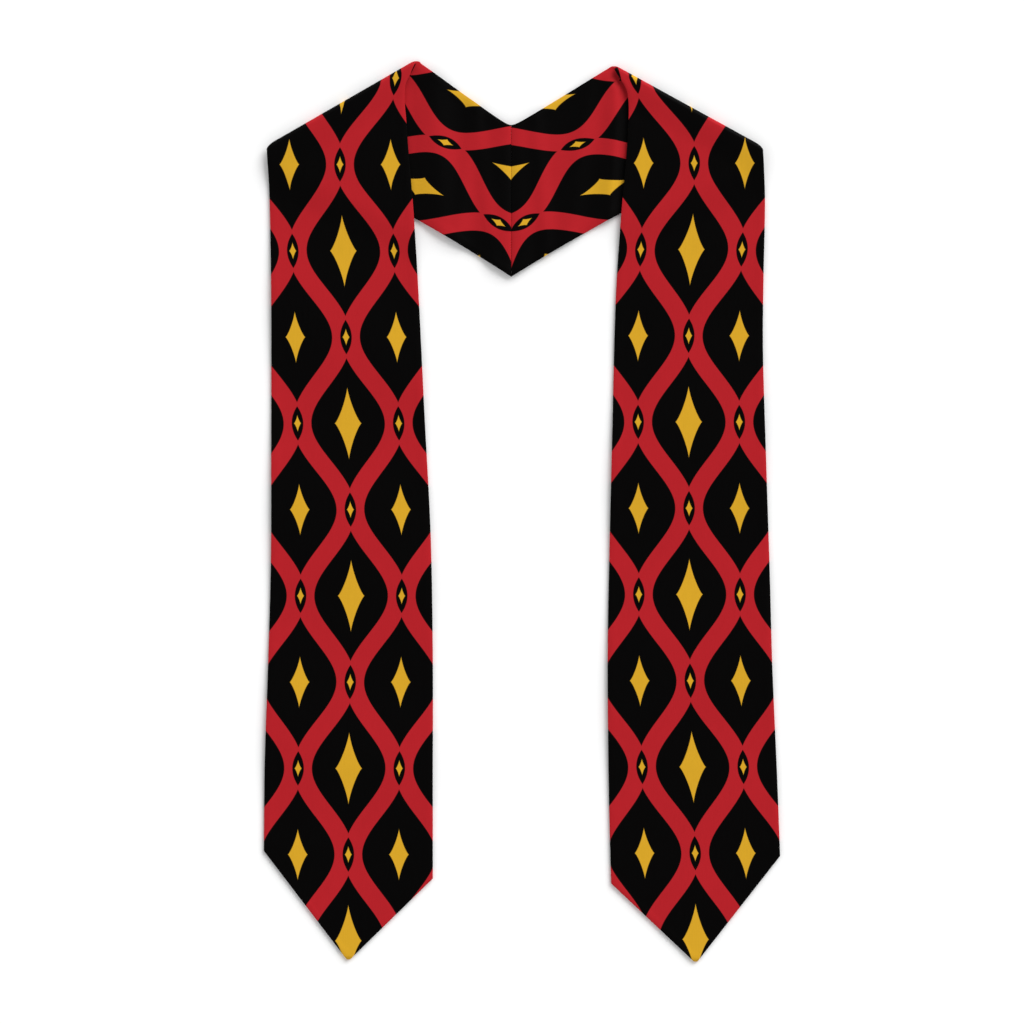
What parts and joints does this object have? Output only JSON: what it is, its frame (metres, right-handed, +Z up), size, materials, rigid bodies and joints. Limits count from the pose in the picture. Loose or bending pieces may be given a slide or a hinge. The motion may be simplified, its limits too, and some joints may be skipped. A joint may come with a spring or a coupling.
{
  "type": "graduation stole",
  "caption": "Long two-layer satin stole with a V-shaped back neck, folded at the shoulders so that two pointed front panels lie side by side.",
  "frame": {"origin": "middle of the stole's outline, on the surface that it lies on", "axes": "+Z up out of that surface, +Y from the points of the front panels towards the neck, +X to the right as the picture shows it"},
  "size_m": [0.449, 0.7834, 0.0071],
  "materials": {
    "outer_cloth": "printed polyester satin, soft sheen",
    "lining": "printed polyester satin, soft sheen"
  },
  "bodies": {
    "root": {"left_outer_cloth": "outer_cloth", "right_outer_cloth": "outer_cloth", "left_lining": "lining", "right_lining": "lining"}
  },
  "joints": []
}
